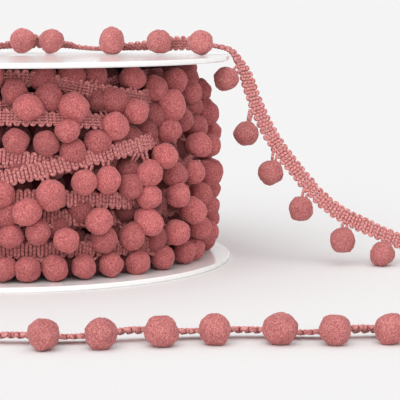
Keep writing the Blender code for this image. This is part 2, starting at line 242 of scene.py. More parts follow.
def gimp_runs(path, start, length, fine=True, back=True):
    """Runs of (points, radii, lengths): the gimp cord's, and the chains'."""
    bend_steps, leg_steps = (6, 3) if fine else (4, 2)
    s, u, rise, twist = to_and_fro(length, bend_steps, leg_steps)
    here, _, across, face = frames_on(*path, start + s)
    points = here + across * u[:, None] + face * rise[:, None]
    runs, chains = [(points, np.full(len(points), GIMP_CORD / 2), twist)], []
    if back:
        at = np.arange(0, length, STITCH / 2)
        # a chain swells in the middle of each stitch
        thick = CHAIN_CORD / 2 * (0.78 + 0.3 * np.cos(2 * math.pi * at / STITCH))
        here, _, across, face = frames_on(*path, start + at)
        for off in CHAINS:
            points = here + across * (off * MM) - face * (GIMP_CORD * 0.5)
            chains.append((points, thick, at * (TWIST / STITCH)))
    return runs, chains


# %% [markdown]
# ### From curves to a piece
# A curve becomes a mesh ring by ring, one ring for each point, so the length
# that the twist counts from and the direction round the cord can be kept on
# each ring. The yarn material needs both to draw its plies along the cord.

# %% Curves to one mesh
def unit(v):
    return v / np.linalg.norm(v)


def cords_to_mesh(name, runs, sides_level=1):
    """One mesh of round cords from (points, radii, lengths) runs."""
    curve = bpy.data.curves.new(name, "CURVE")
    curve.dimensions = "3D"
    curve.bevel_depth = 1.0
    curve.bevel_resolution = sides_level
    strand = []
    sides = 2 * (sides_level + 2)
    turn = 2 * math.pi * np.arange(sides) / sides
    for points, radii, lengths in runs:
        # a point of no thickness just past each end closes the cord
        before, past = points[0] - points[1], points[-1] - points[-2]
        points = np.vstack([points[0] + unit(before) * radii[0] * 0.4, points,
                            points[-1] + unit(past) * radii[-1] * 0.4])
        radii = np.concatenate([[1e-7], radii, [1e-7]])
        lengths = np.concatenate([lengths[:1], lengths, lengths[-1:]])
        spline = curve.splines.new("POLY")
        spline.points.add(len(points) - 1)
        homogeneous = np.column_stack([points, np.ones(len(points))])
        spline.points.foreach_set("co", homogeneous.ravel())
        spline.points.foreach_set("radius", np.asarray(radii, float))
        ring = np.empty((len(points), sides, 3))
        ring[:, :, 0] = np.asarray(lengths)[:, None] / MM
        ring[:, :, 1], ring[:, :, 2] = np.cos(turn), np.sin(turn)
        strand.append(ring.reshape(-1, 3))
    holder = put(name, curve)
    bpy.context.view_layer.update()
    evaluated = holder.evaluated_get(bpy.context.evaluated_depsgraph_get())
    mesh = bpy.data.meshes.new_from_object(evaluated)
    bpy.data.objects.remove(holder)
    bpy.data.curves.remove(curve)
    kept = mesh.attributes.new("strand", "FLOAT_VECTOR", "POINT")
    kept.data.foreach_set("vector", np.concatenate(strand).ravel())
    return mesh


def mesh_of(bm, name):
    """A new mesh from a finished bmesh."""
    mesh = bpy.data.meshes.new(name)
    bm.to_mesh(mesh)
    bm.free()
    return mesh


def as_one(name, *meshes):
    """Several meshes in one, with their open tips merged shut."""
    bm = bmesh.new()
    for mesh in meshes:
        bm.from_mesh(mesh)
    bmesh.ops.remove_doubles(bm, verts=bm.verts[:], dist=1e-6)
    bmesh.ops.recalc_face_normals(bm, faces=bm.faces[:])
    return mesh_of(bm, name)


def piece(name, mesh, material):
    """Links a finished mesh as a piece that rides on the reel's body."""
    mesh.name = name
    mesh.materials.clear()
    mesh.materials.append(material)
    mesh.polygons.foreach_set("use_smooth", np.ones(len(mesh.polygons), bool))
    made = put(name, mesh)
    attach(made, "root")
    print(name, len(mesh.vertices), "points,", len(mesh.polygons), "faces")
    return made


# %% [markdown]
# ## Materials
# A material is a small net of nodes, so one helper adds a node with its
# settings and its links. Colours are written as they look on a screen and turned to
# the linear values that light adds up in.

# %% Helpers for materials
def colour(hex_code):
    """An sRGB hex colour as linear RGBA."""
    parts = [int(hex_code[i:i + 2], 16) / 255 for i in (1, 3, 5)]
    linear = [p / 12.92 if p <= 0.04045 else ((p + 0.055) / 1.055) ** 2.4 for p in parts]
    return (*linear, 1.0)


def node(tree, kind, inputs=None, stops=(), **settings):
    """Adds a node, sets it up, and links or fills its inputs. The `stops` are
    the places and colours of a ramp."""
    made = tree.nodes.new(kind)
    for key, value in settings.items():
        setattr(made, key, value)
    for socket, value in (inputs or {}).items():
        if isinstance(value, bpy.types.NodeSocket):
            tree.links.new(value, made.inputs[socket])
        else:
            made.inputs[socket].default_value = value
    for k, (at, shade) in enumerate(stops):
        stop = made.color_ramp.elements[k]
        stop.position, stop.color = at, colour(shade)
    return made


def new_material(name, **values):
    """A material with its Principled shader and that shader's plain values."""
    made = bpy.data.materials.new(name)
    made.use_nodes = True
    shader = made.node_tree.nodes["Principled BSDF"]
    for key, value in values.items():
        shader.inputs[key.replace("_", " ")].default_value = value
    return made, made.node_tree, shader


# %% [markdown]
# ### Cut acrylic yarn, for the pompoms
# The pompoms are cut from a bundle of fluffy acrylic yarn, tied in the middle
# and trimmed to a ball. The cut ends make a velvety, felt-like skin: fine
# light and dark specks half a millimetre across, a soft light rim and no
# shine at all. The real fibres are a twentieth of a millimetre and would not
# show, so the specks stand for the tips of small tufts.

# %% Pompom yarn
def pompom_yarn(name, dark, light, dull, warm, sheen=0.2):
    """Specks from dark to light over soft patches from dull to warm."""
    made, tree, shader = new_material(
        name, Roughness=0.95, Sheen_Weight=sheen, Sheen_Roughness=0.4, Specular_IOR_Level=0.15
    )
    shader.inputs["Sheen Tint"].default_value = colour("#F0C4C2")
    place = node(tree, "ShaderNodeTexCoord").outputs["Object"]
    tufts = node(tree, "ShaderNodeTexNoise",
                 {"Vector": place, "Scale": 2000.0, "Detail": 2.5, "Roughness": 0.6}).outputs[0]
    patches = node(tree, "ShaderNodeTexNoise",
                   {"Vector": place, "Scale": 260.0, "Detail": 2.0}).outputs[0]
    specks = node(tree, "ShaderNodeValToRGB", {"Fac": tufts}, ((0.37, dark), (0.65, light)))
    soft = node(tree, "ShaderNodeValToRGB", {"Fac": patches}, ((0.3, dull), (0.7, warm)))
    mixed = node(tree, "ShaderNodeMix",
                 {0: 0.35, 6: specks.outputs["Color"], 7: soft.outputs["Color"]},
                 data_type="RGBA")
    # the ball value of each point is a random tone of the yarn times painted light and shade, and
    # it sets how light the yarn is drawn
    ball = node(tree, "ShaderNodeAttribute", attribute_name="ball")
    own = node(tree, "ShaderNodeHueSaturation",
               {"Color": mixed.outputs[2], "Value": ball.outputs["Fac"]})
    tree.links.new(own.outputs["Color"], shader.inputs["Base Color"])
    deep = node(tree, "ShaderNodeBump",
                {"Height": patches, "Strength": 0.35, "Distance": 1.2 * MM})
    fine = node(tree, "ShaderNodeBump",
                {"Height": tufts, "Strength": 0.5, "Distance": 0.3 * MM,
                 "Normal": deep.outputs["Normal"]})
    tree.links.new(fine.outputs["Normal"], shader.inputs["Normal"])
    return made


# on the roll the yarn has less sheen, and its colours are painted darker as the shade among the
# turns
cut_yarn = pompom_yarn(
    "cut_acrylic_yarn_dusty_rose", "#934A4D", "#E39893", "#A05557", "#CA7D7A", 0.4
)
wound_yarn = pompom_yarn(
    "cut_acrylic_yarn_painted_shade_on_the_roll", "#8F4047", "#E48F8B", "#A35156", "#C56D6B", 0.32
)
print("made", cut_yarn.name, wound_yarn.name)

# %% [markdown]
# ### Twisted rayon cord, for the gimp
# The gimp cord is plied from soft rayon, a little smoother than the pompoms.
# Its plies go round it at a slant, so each leg of the braid has crowns and
# grooves across it, and the braid looks knitted. The grooves are painted dark
# as shade and the crowns painted light, over a bump of the same plies. The
# plies are drawn as a screw line from the length run along each cord and the
# direction round it, so they turn with the cord through every bend. A fine
# noise on top gives the fuzz.

# %% Gimp cord
def gimp_cord(name, groove_painted_shade, crown_painted_light, twist):
    """A plied cord whose colour runs from painted shade in its grooves to painted light on its
    crowns.
    """
    made, tree, shader = new_material(
        name, Roughness=0.85, Sheen_Weight=0.25, Sheen_Roughness=0.5, Specular_IOR_Level=0.2
    )
    shader.inputs["Sheen Tint"].default_value = colour("#EFC0BE")

    strand = node(tree, "ShaderNodeAttribute", attribute_name="strand")
    parts = node(tree, "ShaderNodeSeparateXYZ", {"Vector": strand.outputs["Vector"]})
    angle = node(tree, "ShaderNodeMath",
                 {0: parts.outputs["X"], 1: 2 * math.pi * MM / TWIST}, operation="MULTIPLY")
    sine = node(tree, "ShaderNodeMath", {0: angle.outputs[0]}, operation="SINE")
    cosine = node(tree, "ShaderNodeMath", {0: angle.outputs[0]}, operation="COSINE")
    one_way = node(tree, "ShaderNodeMath",
                   {0: sine.outputs[0], 1: parts.outputs["Y"]}, operation="MULTIPLY")
    plies = node(tree, "ShaderNodeMath",
                 {0: cosine.outputs[0], 1: parts.outputs["Z"], 2: one_way.outputs[0]},
                 operation="MULTIPLY_ADD")
    place = node(tree, "ShaderNodeTexCoord").outputs["Object"]
    fuzz = node(tree, "ShaderNodeTexNoise",
                {"Vector": place, "Scale": 2100.0, "Detail": 3.0}).outputs[0]
    height = node(tree, "ShaderNodeMath",
                  {0: plies.outputs[0], 1: twist, 2: fuzz},
                  operation="MULTIPLY_ADD").outputs[0]
    # the ramp paints shade into the ply grooves and light onto their crowns
    tint = node(tree, "ShaderNodeValToRGB", {"Fac": height}, ((0.30, groove_painted_shade), (0.66, crown_painted_light)))
    tree.links.new(tint.outputs["Color"], shader.inputs["Base Color"])
    bump = node(tree, "ShaderNodeBump", {"Height": height, "Strength": 0.9, "Distance": 0.4 * MM})
    tree.links.new(bump.outputs["Normal"], shader.inputs["Normal"])
    return made


gimp_yarn = gimp_cord("twisted_rayon_gimp_dusty_rose", "#A45658", "#F2ABA6", 0.11)
print("made", gimp_yarn.name)

# %% [markdown]
# ## The loose end's braid
# The braid is built along the line the loose end lies on, at its real length.

# %% Loose braid
def braid_mesh(name, path, start, length, fine, back):
    """A stretch of braid: the gimp cord, and its chain stitches if wanted."""
    runs, chains = gimp_runs(path, start, length, fine, back)
    meshes = [cords_to_mesh(name, runs, 1)]
    if chains:
        meshes.append(cords_to_mesh(name, chains, 0))
    return as_one(name, *meshes)


loose_braid = piece(
    "loose_gimp_braid",
    braid_mesh("loose_gimp_braid", loose_line, 0.0, LOOSE_LENGTH, True, True),
    gimp_yarn,
)
loose_path = frames_on(*loose_line, np.linspace(0, LOOSE_LENGTH, 180))[0]

# %% [markdown]
# ## Pompoms
# A trimmed pompom is never a true ball. It has soft lumps where tufts stand
# together, a flatter side where it was pressed on the roll, and it is a bit
# longer along its tie. Eight different balls are modelled, each pushed out
# and in by smooth noise, and every pompom is one of them, turned and stretched
# its own way. The three finenesses are for pompoms in full view, pompoms among
# others, and pompoms deep in the roll.

# %% Eight lumpy balls
KINDS = 8
FLAT_SIDES = 6


def lumpy_ball(seed, detail):
    """A ball of radius 1 with soft lumps and flats, as points and faces."""
    bm = bmesh.new()
    bmesh.ops.create_icosphere(bm, subdivisions=detail, radius=1.0)
    shift = Vector((seed * 3.7, seed * 1.9, -seed * 2.3))
    dice_of_ball = np.random.default_rng(seed)
    flats = [(Vector(d).normalized(), h) for d, h in
             zip(dice_of_ball.normal(0, 1, (FLAT_SIDES, 3)),
                 dice_of_ball.uniform(0.84, 0.96, FLAT_SIDES))]
    for vert in bm.verts:
        out = vert.co.normalized()
        swell = (1.0 + 0.10 * noise.noise(out * 1.4 + shift)
                 + 0.04 * noise.noise(out * 4.2 + shift))
        if detail > 4:  # tuft ends that roughen the outline
            swell += (0.020 * noise.noise(out * 9.0 + shift)
                      + 0.034 * noise.noise(out * 21.0 - shift))
        elif detail > 3:
            swell += (0.018 * noise.noise(out * 7.0 + shift)
                      + 0.022 * noise.noise(out * 13.0 - shift))
        for way, height in flats:
            over = out.dot(way) * swell - height
            if over > 0:
                swell -= 0.4 * over
        vert.co = out * swell
    bm.verts.ensure_lookup_table()
    points = np.array([v.co for v in bm.verts])
    faces = np.array([[v.index for v in f.verts] for f in bm.faces])
    bm.free()
    return points, faces


balls = {detail: [lumpy_ball(seed, detail) for seed in range(1, KINDS + 1)]
         for detail in (3, 4, 5)}
print("balls of", [len(kinds[0][1]) for kinds in balls.values()], "faces")


# %% Many balls as one mesh
def turned_any_way(rng):
    """A rotation picked evenly from all rotations."""
    q, r = np.linalg.qr(rng.normal(0, 1, (3, 3)))
    q = q * np.sign(np.diag(r))
    return q if np.linalg.det(q) > 0 else -q


def keep_shade(mesh, values):
    """Keeps on each point how light its yarn is drawn, a random tone times painted light and
    shade, for the yarn's material.
    """
    mesh.attributes.new("ball", "FLOAT", "POINT").data.foreach_set("value", values)


def balls_mesh(name, rows, rng, shade=1.0):
    """One mesh of many balls. A row is (middle, radius, hang, stretch, detail, painted lightness):
    `stretch` lengthens the ball along its `hang`, and the painted lightness and `shade` darken or
    lighten the yarn as painted light and shade."""
    points, faces, shades, at = [], [], [], 0
    for middle, radius, hang, stretch, detail, painted_lightness in rows:
        ball_points, ball_faces = balls[detail][rng.integers(KINDS)]
        own = ball_points @ turned_any_way(rng).T
        hang = np.asarray(hang) / np.linalg.norm(hang)
        own = own + np.outer(own @ hang, hang) * (stretch - 1.0)
        points.append(middle + own * radius)
        faces.append(ball_faces + at)
        # painted shade of the mesh times painted light or shade of the ball, times a random tone
        # of the yarn
        shades.append(np.full(len(own), shade * painted_lightness * rng.uniform(0.93, 1.05)))
        at += len(own)
    mesh = bpy.data.meshes.new(name)
    points, faces = np.concatenate(points), np.concatenate(faces)
    mesh.from_pydata(points.tolist(), [], faces.tolist())
    keep_shade(mesh, np.concatenate(shades))
    return mesh


# %% [markdown]
# ### Where the loose pompoms come to rest
# Each one is tied to the braid's edge and hangs from it. Where the flange or
# the table is in its way it lies on that instead, beside the braid.

# %% Loose pompoms
POMPOM = 10.2 * MM  # across
TIE_REACH = 6.3 * MM  # from the braid's edge to the pompom's middle
SAG = 2.2  # how much more a tie pulls down than sideways
TABLE_FLAT = 0.2 * MM  # how much its weight flattens a pompom below
REEL_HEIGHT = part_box("flange_top")[1][2]
FLANGE_RADIUS = 89.0 * MM
RIM = 2.0 * MM  # nearer to the rim than this it hangs over
GAP = 0.3 * MM  # air under a pompom on the flange
PRESSED = 0.1 * MM  # air under the flat it is pressed to

TIED = (
    # first and last tie, mm along the route, pompoms, ball detail, and how
    #     # light the yarn is painted: painted light on the flange, painted shade in front
    (10.8, 123.6, 7, 4, 1.0),  # off the roll, over the back rim
    (141.7, 160.5, 2, 5, 1.08),  # on the top flange
    (181.8, 224.0, 3, 5, 1.06),
    (244.3, 342.2, 6, 5, 0.98),  # hanging beside the reel
    (361.4, 554.4, 11, 4, 1.0),  # round the bend on the table
    (571.3, 663.8, 6, 5, 0.96),  # in front of the reel
)
TIES = {
    # pompom: lean along the braid, reach of its ties, sag
    8: (1.4, 7.4, SAG),
    9: (-5.8, 6.3, SAG),
    10: (1.6, 6.3, SAG),
    11: (3.3, 6.3, SAG),
    13: (-0.4, 6.9, 0.65),
    14: (1.5, 7.0, SAG),
    15: (0.5, 6.3, SAG),
    16: (0.0, 6.0, SAG),
    17: (0.0, 5.8, SAG),
    18: (2.0, 6.3, SAG),
    31: (-1.8, 6.3, SAG),
    32: (1.5, 6.3, SAG),
    33: (1.4, 6.3, SAG),
    34: (1.9, 6.3, SAG),
}
# Pompoms that are not as the rest: radius against the usual one, and how much
# longer they are along the way given.
BUILT = {
    # pompom: size, stretch, direction of the stretch
    8: (1.02, 1.06, (1, 0, 0.4)),
    10: (1.05, 1.10, (0.1, 0, 1)),
    29: (1.0, 1.06, (1, 0, 0.5)),
    31: (1.0, 1.10, (1, 0, 0.1)),
    33: (1.0, 1.10, (1, 0, -0.1)),
}


def settled(root, across, lean, reach, sag):
    """Where the middle of a pompom comes to rest."""
    radius = POMPOM / 2
    on_flange = root[2] > REEL_HEIGHT and math.hypot(root[0], root[1]) < FLANGE_RADIUS - RIM
    rest = REEL_HEIGHT + GAP + radius if on_flange else radius - TABLE_FLAT
    middle = root + lean + reach * unit(across + np.array((0.0, 0.0, -sag)))
    if middle[2] < rest:
        # it lies level beside the braid, as far off as its ties let it
        level = unit(across * (1.0, 1.0, 0.0))
        climb = rest - root[2]
        off = math.sqrt(max(reach**2 - climb**2, (0.8 * reach) ** 2))
        middle = root + lean + level * off
        middle[2] = rest
    return middle


def tie_pair(root, flat, middle, radius):
    """The two ties of a pompom: short cords from the braid's edge into it,
    side by side along the edge, the way that `flat` points."""
    runs = []
    axis = unit(middle - root)
    for half in (-1.0, 1.0):
        foot = root + flat * half * 1.05 * MM - axis * 1.0 * MM
        head = middle - axis * radius * 0.7 + flat * half * 0.5 * MM
        bow = flat * half * 0.25 * MM
        way = np.array([foot, foot * 0.6 + head * 0.4 + bow, head])
        lengths = np.array([0.0, 0.5, 1.0]) * np.linalg.norm(head - foot)
        runs.append((way, np.array([0.70, 0.64, 0.68]) * MM, lengths))
    return runs


rng_loose = np.random.default_rng(21)
number, loose_pieces, loose_ties = 0, [], []
for group, (first, last, count, detail, painted_lightness) in enumerate(TIED, 1):
    rows, names = [], []
    for at in np.linspace(first, last, count) * MM:
        number += 1
        here, along, across, _ = (value[0] for value in frames_on(*loose_line, [at]))
        lean, reach, sag = TIES.get(number, (0.0, TIE_REACH / MM, SAG))
        size, stretch, way = BUILT.get(number, (1.0, 1.0, None))
        root = here + across * (BRAID_WIDE / 2 + 0.4 * MM)
        middle = settled(root, across, along * lean * MM, reach * MM, sag)
        radius = POMPOM / 2 * size * rng_loose.uniform(0.99, 1.02)
        if way is None:
            way, stretch = middle - root, rng_loose.uniform(1.0, 1.06)
        rows.append((middle, radius, way, stretch, detail, painted_lightness))
        loose_ties += tie_pair(root, unit(along), middle, radius)
        names.append(f"pompom_{number:02d}")
    mesh = balls_mesh(f"loose_pompoms_{group}", rows, rng_loose)
    # what would reach into the table or the flange is pressed flat on it
    points = np.empty(len(mesh.vertices) * 3)
    mesh.vertices.foreach_get("co", points)
    points = points.reshape(-1, 3)
    points[:, 2] = np.maximum(points[:, 2], PRESSED)
    on_top = np.hypot(points[:, 0], points[:, 1]) < FLANGE_RADIUS
    on_top &= points[:, 2] > REEL_HEIGHT - 1.2 * MM
    points[on_top, 2] = np.maximum(points[on_top, 2], REEL_HEIGHT + PRESSED)
    mesh.vertices.foreach_set("co", points.ravel())
    made = piece(f"loose_pompoms_{group}", mesh, cut_yarn)
    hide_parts(*names)
    loose_pieces.append(made)
tie_mesh = as_one("loose_pompom_ties", cords_to_mesh("ties", loose_ties, 0))
loose_pieces.append(piece("loose_pompom_ties", tie_mesh, gimp_yarn))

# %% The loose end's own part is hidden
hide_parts("loose_braid")
print("pompoms on the loose end", number)

# %% [markdown]
# ## The wound trim
# The trim is wound loosely, so its turns climb and fall, lie over each other
# and twist, and the pompoms push out between them. The winding here is one
# unbroken length too. Each outer turn has a height where it starts and one
# that it moves to, and it passes into the next turn at the back. Where a turn
# crosses an earlier one it rides over it.

# %% The turns, from the inside out
ROLL_OUTLINE = np.array((
    # height, widest radius, mm
    (2.4, 81.0), (8.0, 85.2), (23.0, 85.8), (36.0, 86.4), (52.0, 86.4),
    (62.0, 84.4), (71.0, 82.4), (77.0, 79.5), (83.2, 75.0),
))
TURNS = (
    # start and end height mm, angle it leaves and arrives, pompom side
    # (-1 below the braid, 1 above it), how far inside the outline it lies at
    # the front, mm, and the angle where it dives under the pompoms
    (17.5, 12.5, -10.0, 100.0, -1, 11.5, 30.0),
    (15.5, 13.5, -40.0, 40.0, -1, 9.5, 50.0),
    (24.0, 38.0, 30.0, 110.0, -1, 11.5, 20.0),
    (29.5, 24.0, -20.0, 50.0, -1, 10.6, 24.0),
    (36.5, 31.0, -30.0, 60.0, -1, 8.8, 38.0),
    (46.0, 52.0, 10.0, 95.0, 1, 11.5, 20.0),
    (52.5, 42.0, -30.0, 60.0, -1, 8.0, 15.0),
    (38.5, 57.0, -25.0, 70.0, -1, 6.3, 45.0),
    (67.5, 78.5, -20.0, 70.0, 1, 11.0, 10.0),
    (79.6, 66.0, -5.0, 75.0, 1, 7.2, 46.0),
    (66.0, 59.5, -25.0, 70.0, 1, 7.0, 29.0),
)
SEAM = 235.0  # each turn passes into the next one here, at the back
PASS = 60.0  # degrees that each half of this takes
LAST_ANGLE = 203.0  # where the loose end leaves the roll
LOWEST, HIGHEST = 6.4, 79.2  # for the middle of the braid, mm
END_HEIGHT, END_RADIUS = 57.5, 84.6  # where the loose end takes over, mm
RISE = 40.0  # degrees before it over which the last turn gets there


def outline(height):
    """The roll's widest radius at a height, both in mm."""
    return np.interp(height, ROLL_OUTLINE[:, 0], ROLL_OUTLINE[:, 1])


def turn_height(turn, angle):
    """Height of one turn at an angle, in mm."""
    start, end, leaves, arrives = turn[:4]
    swing = (angle - leaves) % 360.0
    span = arrives - leaves
    share = np.where(swing <= span, swing / span, 1.0 - (swing - span) / (360.0 - span))
    return start + (end - start) * (0.5 - 0.5 * np.cos(math.pi * share))


def ease(x):
    """From 0 to 1 with a soft start and a soft end."""
    x = np.clip(x, 0.0, 1.0)
    return x * x * (3 - 2 * x)


STEP = 1.0  # degrees between the points of the winding
winding = np.arange(SEAM - 360.0, 360.0 * (len(TURNS) - 1) + LAST_ANGLE + 0.01, STEP)
turn_of = np.clip(((winding - SEAM + 360.0) // 360.0).astype(int), 0, len(TURNS) - 1)
height = np.empty(len(winding))
side_of = np.empty(len(winding))
for k, turn in enumerate(TURNS):
    mine = turn_of == k
    angle = winding[mine] - 360.0 * k
    own = turn_height(turn, angle)
    after = TURNS[min(k + 1, len(TURNS) - 1)]
    before = TURNS[max(k - 1, 0)]
    out = 0.5 * ease((angle - SEAM + PASS) / PASS)
    back = 0.5 * ease((SEAM - 360.0 + PASS - angle) / PASS)
    height[mine] = (own * (1 - out - back) + turn_height(after, angle) * out
                    + turn_height(before, angle) * back)
    side_of[mine] = turn[4] * (1 - out - back) + after[4] * out + before[4] * back
drift = np.random.default_rng(5)
for waves in (3, 7, 13):  # the hand that winds is never quite steady
    size = drift.normal(0, 0.35)
    height += size * np.sin(np.radians(winding) * waves / 2.3 + drift.uniform(0, 6))
height = np.clip(height, LOWEST, HIGHEST)
rim_rise = ease((winding - winding[-1] + RISE) / RISE)
height = height * (1 - rim_rise) + END_HEIGHT * rim_rise
print("turns", len(TURNS), "winding", len(winding), "points")

# %% How far out each turn lies
USUAL_DEPTH = 9.4  # how far inside the outline a turn lies at the back, mm
UNDER = 13.6  # and where it runs under the pompoms, mm
LEAST_DEPTH = 3.5  # no braid lies nearer to the outline, mm
RIDE = 1.9  # how far out a turn is lifted by one that it crosses, mm
SMOOTH = 11  # points over which the steps are evened out

# angles from the front, in degrees: the table's depths hold from -30, and a
# turn that has dived under the pompoms is out again at 120
front_angle = (winding + 180.0) % 360.0 - 180.0
front_share = ease((front_angle + 60.0) / 30.0)
dives = np.array([turn[6] for turn in TURNS])[turn_of]
past = ease((front_angle - 104.0) / 16.0)
under = ease((front_angle - dives) / 12.0) * (1 - past)
elsewhere = USUAL_DEPTH + 1.2 * np.sin(np.radians(winding) * 2.1 + turn_of * 1.9)
depth = np.array([turn[5] for turn in TURNS])[turn_of]
depth = depth * front_share + elsewhere * (1 - front_share)
depth = depth * (1 - under - past) + UNDER * under + elsewhere * past
radius_of = outline(height) - depth
per_turn = int(round(360.0 / STEP))
for i in range(len(winding)):
    below = np.arange(i - per_turn, -1, -per_turn)
    if len(below):
        near = 1.0 - (np.abs(height[i] - height[below]) / (BRAID_WIDE / MM + 0.5)) ** 2
        over = radius_of[below] + RIDE * np.maximum(near, 0.0) ** 0.5
        if (near > 0).any():
            radius_of[i] += max(0.0, over[near > 0].max() - radius_of[i]) * (1.0 - under[i])
radius_of = np.minimum(radius_of, outline(height) - LEAST_DEPTH)
padded = np.pad(radius_of, SMOOTH // 2, mode="edge")
radius_of = np.convolve(padded, np.ones(SMOOTH) / SMOOTH, "valid")
radius_of = radius_of * (1 - rim_rise) + END_RADIUS * rim_rise
turn_around = np.radians(winding)
outwards = np.column_stack([np.sin(turn_around), -np.cos(turn_around), np.zeros(len(winding))])
wound_points = (outwards * radius_of[:, None] + np.array((0, 0, 1.0)) * height[:, None]) * MM
lean_out = 0.28 * np.sin(turn_around * 1.7 + 1.0) + 0.2 * np.sin(turn_around * 4.3)
tilt = (1 + side_of) / 2 * math.pi + lean_out * (1 - rim_rise)
wound_side = outwards * np.sin(tilt)[:, None] - np.array((0, 0, 1.0)) * np.cos(tilt)[:, None]
wound_run = length_run(wound_points)
wound_line = (wound_points, wound_side, wound_run)
print("wound length of the outer turns", round(wound_run[-1], 3), "m")

# %% [markdown]
# ### The wound braid
# The same gimp cord, with less detail, as it is seen only in the gaps. The
# pompoms round it keep light away, so its twist is drawn softer and its
# colours are painted darker as shade, darkest on the lower turns. The chain
# stitches of the back only go on the last turns, which lie on top of the
# others.

# %% Wound braid in three stretches
# two darker copies of the gimp cord: colours painted as shade in the roll, and as deeper shade on
# the lower turns
wound_cord = gimp_cord("twisted_rayon_gimp_painted_shade_in_the_roll", "#883D42", "#E79B97", 0.07)
deep_cord = gimp_cord("twisted_rayon_gimp_painted_deeper_shade_lower_turns", "#743238", "#D08682", 0.07)
shares = (0, 4, 8, len(TURNS))
for stretch, (low, high) in enumerate(zip(shares, shares[1:]), 1):
    start = wound_run[np.searchsorted(turn_of, low)] if low else 0.0
    stop = wound_run[np.searchsorted(turn_of, high) - 1] if high < len(TURNS) else wound_run[-1]
    name = f"wound_gimp_braid_{stretch}"
    mesh = braid_mesh(name, wound_line, start, stop - start, False, stretch == 3)
    made = piece(name, mesh, deep_cord if stretch == 1 else wound_cord)
    if stretch == 3:
        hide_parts("wound_trim")

# %% [markdown]
# ### The wound pompoms
# Those at the front are placed one by one, because their places are what makes
# this roll this roll. `lift` says how far out a pompom sits: 0 for the
# outermost, less for one that is half hidden behind them. The rest follow
# their turns, one every 18 mm, and are pushed apart until each has its room.

# %% Pompoms seen at the front
FRONT = (
    # angle, height, lift, size
    (8.8, 68.5, 0.0, 1.0), (21.8, 68.2, 0.0, 1.12), (19.5, 59.6, 0.0, 0.98),
    (33.7, 60.8, 0.0, 1.0), (41.1, 66.1, 0.0, 1.0), (56.3, 67.0, 0.0, 1.15),
    (61.7, 76.1, -1.0, 1.0), (69.2, 50.2, 0.0, 1.0), (50.3, 47.9, 0.0, 1.0),
    (44.2, 41.8, 0.0, 1.08), (23.6, 40.1, 0.0, 1.0), (30.5, 40.4, 0.0, 1.0),
    (14.4, 35.6, 0.0, 1.08), (8.1, 29.4, 0.0, 1.02), (65.5, 39.7, 0.0, 1.0),
    (44.2, 32.8, 0.0, 0.98), (56.7, 31.6, 0.0, 1.0), (65.4, 24.3, 0.0, 1.05),
    (44.2, 23.0, 0.0, 1.05), (27.9, 24.8, 0.0, 1.0), (18.7, 18.2, 0.0, 1.0),
    (56.7, 16.8, 0.0, 1.05),
    (4.8, 74.1, -3.0, 1.0), (14.7, 72.1, -3.0, 1.0), (34.0, 70.0, -3.0, 1.0),
    (50.8, 74.0, -2.0, 1.0), (42.9, 78.0, -2.0, 1.0), (13.4, 79.0, -4.0, 1.0),
    (21.9, 79.0, -4.0, 1.0), (29.5, 79.0, -4.0, 1.0), (72.7, 71.4, -1.5, 1.0),
    (5.2, 55.8, -3.0, 1.0), (13.2, 54.9, -3.0, 1.0), (27.5, 54.7, -3.0, 1.0),
    (20.3, 51.6, -3.5, 1.0), (52.9, 57.4, -2.5, 1.0), (68.4, 57.1, -3.0, 1.0),
    (37.5, 37.4, -3.0, 1.0), (54.3, 39.9, -3.0, 1.0), (73.8, 29.5, -1.5, 1.0),
    (82.5, 36.9, -0.5, 1.0), (10.8, 21.3, -2.5, 1.0), (3.5, 20.0, -2.5, 1.0),
    (29.4, 17.3, -3.0, 1.0), (38.4, 17.5, -2.5, 1.0), (72.7, 16.0, -1.0, 1.0),
    (28.2, 70.6, -6.0, 1.0), (37.6, 55.2, -6.0, 1.0), (43.6, 56.7, -6.0, 1.0),
    (46.5, 14.8, -5.0, 1.0), (33.0, 53.0, -6.5, 1.0), (22.4, 28.6, -6.0, 1.0),
    (16.3, 22.4, -6.0, 0.95), (5.0, 45.3, -6.0, 0.95), (15.0, 45.8, -6.0, 0.95),
    (36.5, 43.2, -6.0, 0.95),
    (1.7, 7.4, -2.0, 0.96), (7.9, 7.3, -2.0, 0.96), (15.5, 7.3, -2.0, 0.96),
    (23.7, 7.1, -2.0, 0.96), (32.0, 7.1, -2.0, 0.96), (41.0, 6.9, -2.0, 0.96),
    (51.0, 6.9, -2.0, 0.96), (62.0, 6.9, -2.0, 0.96), (72.7, 6.8, -2.0, 0.96),
    (86.0, 61.6, -0.5, 1.0), (92.0, 52.8, -0.5, 1.0), (84.5, 48.1, -0.5, 1.0),
    (94.0, 36.3, -0.3, 1.0), (99.0, 45.0, -3.0, 1.0), (1.0, 36.4, -1.5, 1.0),
    (2.6, 28.2, -3.5, 1.0), (47.6, 63.6, -5.0, 1.0), (76.6, 65.2, -4.0, 1.0),
    (85.5, 22.7, -0.5, 1.0), (94.0, 6.9, -1.0, 1.0),
    (84.0, 11.6, -1.0, 1.0), (80.5, 77.0, -2.5, 1.0), (89.0, 70.5, -1.5, 1.0),
    (95.5, 62.0, -0.5, 1.0), (95.0, 28.5, -0.5, 1.0), (95.5, 16.0, -0.5, 1.0),
)
KEEP_IN = 5.1  # a pompom's middle lies this far inside the outline, mm
PITCH = 18.1  # mm of braid for each pompom
TO_MIDDLE = 9.0  # from the middle of the braid to that of its pompom, mm
FRONT_END = 99.5  # from 0 to this angle the table has the pompoms
WOUND_LOW, WOUND_HIGH = 6.9, 78.6  # lowest and highest middle of a pompom, mm

spots = []  # angle, height, distance out, size, and 1 if it stays where it is
for angle, high, lift, size in FRONT:
    surface = outline(high) - KEEP_IN
    out = surface + lift
    at = angle
    if angle <= 90 and not (lift < 0 and angle > 70):
        # seen from the front, what sits deeper keeps its place across
        across = surface * math.sin(math.radians(angle)) / out
        at = math.degrees(math.asin(min(0.9995, across)))
    spots.append((at, high, out, size, 1.0))

